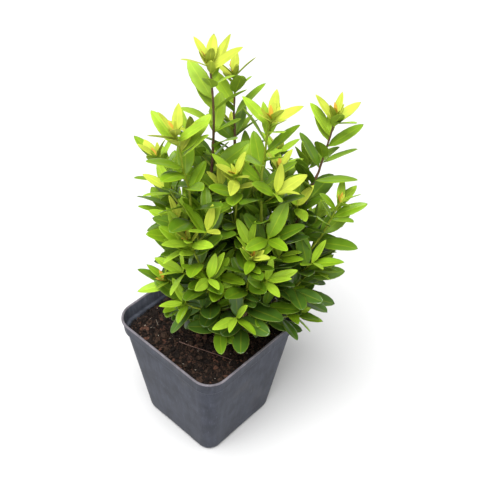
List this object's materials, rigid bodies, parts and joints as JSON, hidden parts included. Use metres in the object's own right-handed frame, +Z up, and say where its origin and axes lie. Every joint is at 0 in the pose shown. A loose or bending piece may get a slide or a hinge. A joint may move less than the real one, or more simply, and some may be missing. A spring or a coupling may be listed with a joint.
{
  "type": "potted ilex maximowicziana",
  "caption": "Bushy young evergreen shrub with upright leafy shoots and bright yellow-green tips, in a square tapered slate-grey nursery pot filled with dark soil.",
  "frame": {"origin": "centre of the pot's flat underside", "axes": "+Z up; the pot's sides run along X and Y; the corner at -X -Y is the one nearest to the viewer of the reference picture"},
  "size_m": [0.138, 0.1318, 0.2889],
  "materials": {
    "slate_plastic": "thin moulded slate-grey plastic, slightly scuffed, with a paler rim edge",
    "peat": "very dark brown crumbly peat with reddish bits and pale fibres",
    "old_bark": "tan-brown rough young bark at the foot",
    "young_bark": "smooth stems, brown below and green-yellow above",
    "young_leaves": "yellow to lime young leaves, glossy",
    "green_leaves": "mid-green glossy leaves with a paler rib and margin",
    "old_leaves": "darker green glossy leaves near the soil"
  },
  "bodies": {
    "root": {"pot": "slate_plastic", "soil": "peat", "root_crown": "old_bark", "stem_top": "young_bark", "stem_front": "young_bark", "stem_left": "young_bark", "stem_right": "young_bark", "stem_back": "young_bark", "stem_middle": "young_bark", "stem_side_right": "young_bark", "stem_side_front": "young_bark", "stem_side_left": "young_bark", "stem_side_back_left": "young_bark", "stem_side_back_right": "young_bark", "stem_side_near_right": "young_bark", "stem_side_near_back": "young_bark", "stem_side_near_left": "young_bark", "stem_low_right": "young_bark", "stem_low_front": "young_bark", "stem_low_back_right": "young_bark", "stem_low_back": "young_bark", "stem_low_left": "young_bark", "foliage_top": "young_leaves", "foliage_front": "young_leaves", "foliage_left": "young_leaves", "foliage_right": "young_leaves", "foliage_back": "young_leaves", "foliage_middle": "green_leaves", "foliage_side_right": "green_leaves", "foliage_side_front": "green_leaves", "foliage_side_left": "green_leaves", "foliage_side_back_left": "green_leaves", "foliage_side_back_right": "green_leaves", "foliage_side_near_right": "green_leaves", "foliage_side_near_back": "green_leaves", "foliage_side_near_left": "green_leaves", "foliage_low_right": "old_leaves", "foliage_low_front": "old_leaves", "foliage_low_back_right": "old_leaves", "foliage_low_back": "old_leaves", "foliage_low_left": "old_leaves"}
  },
  "joints": []
}
